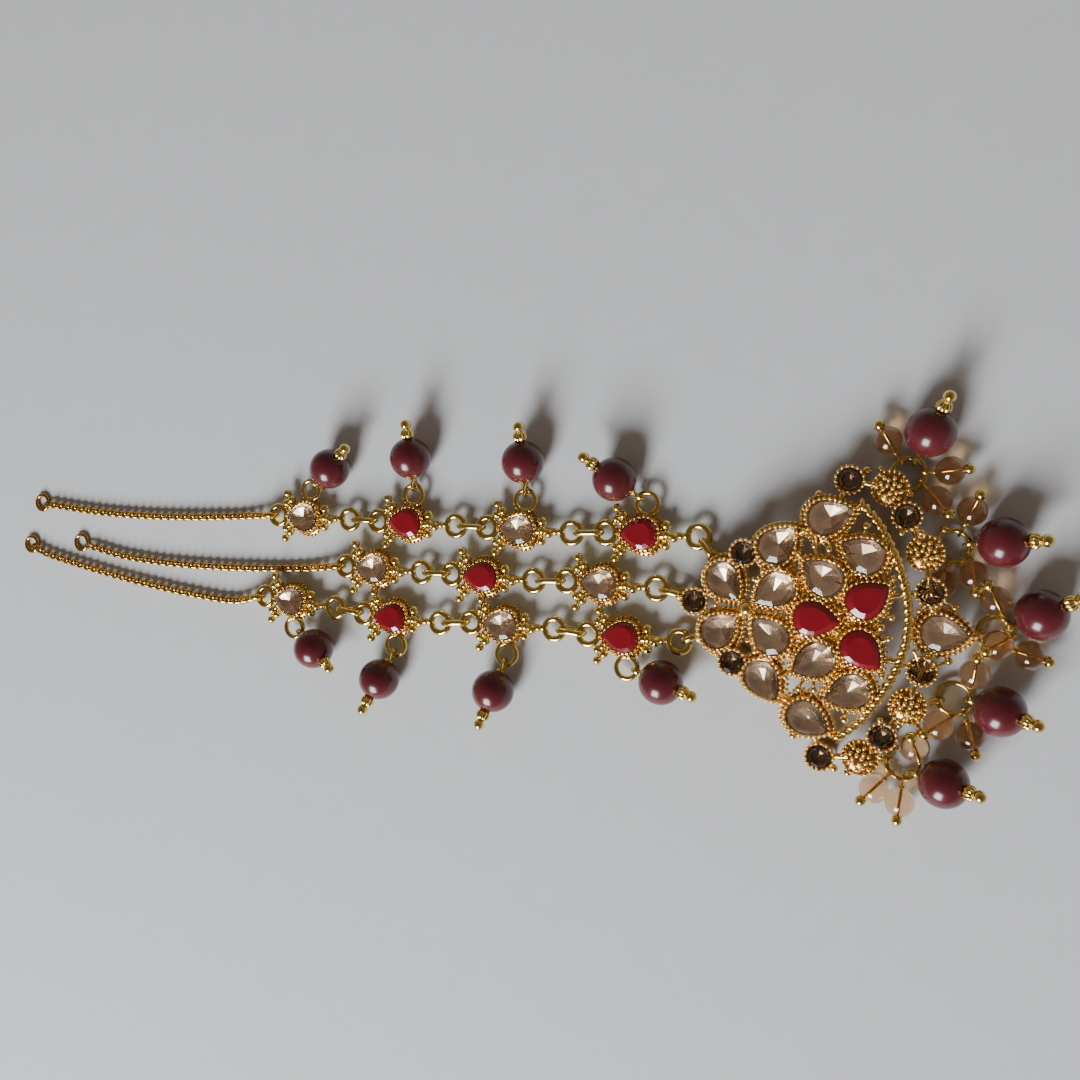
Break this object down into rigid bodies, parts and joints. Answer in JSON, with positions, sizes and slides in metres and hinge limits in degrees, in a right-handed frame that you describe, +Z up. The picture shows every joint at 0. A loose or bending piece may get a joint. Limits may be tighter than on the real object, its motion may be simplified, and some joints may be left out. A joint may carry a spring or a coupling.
{
  "type": "matha patti",
  "caption": "Hair and forehead jewel: a domed openwork fan pendant with a bead fringe on strands of pear-stone plaques that end in fine chains with rings.",
  "frame": {"origin": "on the surface that the jewel lies on, under the middle of its bounding box", "axes": "+X along the strands from the chains' end rings towards the pendant, +Y across them, +Z up from the surface"},
  "size_m": [0.221, 0.0696, 0.0104],
  "materials": {
    "gold": "polished warm gold plate",
    "clear_stone": "faceted and round champagne glass",
    "red_stone": "faceted opaque deep red",
    "maroon_bead": "polished dark maroon"
  },
  "bodies": {
    "root": {"pendant_frame": "gold", "stone_wing_left": "clear_stone", "stone_wing_right": "clear_stone", "stone_petal_left": "clear_stone", "stone_petal_right": "clear_stone", "stone_flank_left": "clear_stone", "stone_flank_right": "clear_stone", "stone_side_left": "clear_stone", "stone_side_right": "clear_stone", "stone_corner_left": "clear_stone", "stone_corner_right": "clear_stone", "stone_cheek_left": "clear_stone", "stone_cheek_right": "clear_stone", "stone_fan_left": "red_stone", "stone_fan_right": "red_stone", "stone_heart": "red_stone", "stone_tail": "clear_stone", "plaque_upper_1": "gold", "link_upper_1": "gold", "plaque_upper_2": "gold", "link_upper_2": "gold", "plaque_upper_3": "gold", "link_upper_3": "gold", "plaque_upper_4": "gold", "link_upper_4": "gold", "chain_upper": "gold", "drop_upper_1": "maroon_bead", "drop_upper_2": "maroon_bead", "drop_upper_3": "maroon_bead", "drop_upper_4": "maroon_bead", "plaque_middle_1": "gold", "link_middle_1": "gold", "plaque_middle_2": "gold", "link_middle_2": "gold", "plaque_middle_3": "gold", "link_middle_3": "gold", "chain_middle": "gold", "plaque_lower_1": "gold", "link_lower_1": "gold", "plaque_lower_2": "gold", "link_lower_2": "gold", "plaque_lower_3": "gold", "link_lower_3": "gold", "plaque_lower_4": "gold", "link_lower_4": "gold", "chain_lower": "gold", "drop_lower_1": "maroon_bead", "drop_lower_2": "maroon_bead", "drop_lower_3": "maroon_bead", "drop_lower_4": "maroon_bead", "bunch_1": "clear_stone", "bunch_1_maroon": "maroon_bead", "bunch_2": "clear_stone", "bunch_2_maroon": "maroon_bead", "bunch_3": "clear_stone", "bunch_3_maroon": "maroon_bead", "bunch_4": "clear_stone", "bunch_4_maroon": "maroon_bead", "bunch_5": "clear_stone", "bunch_5_maroon": "maroon_bead"}
  },
  "joints": []
}
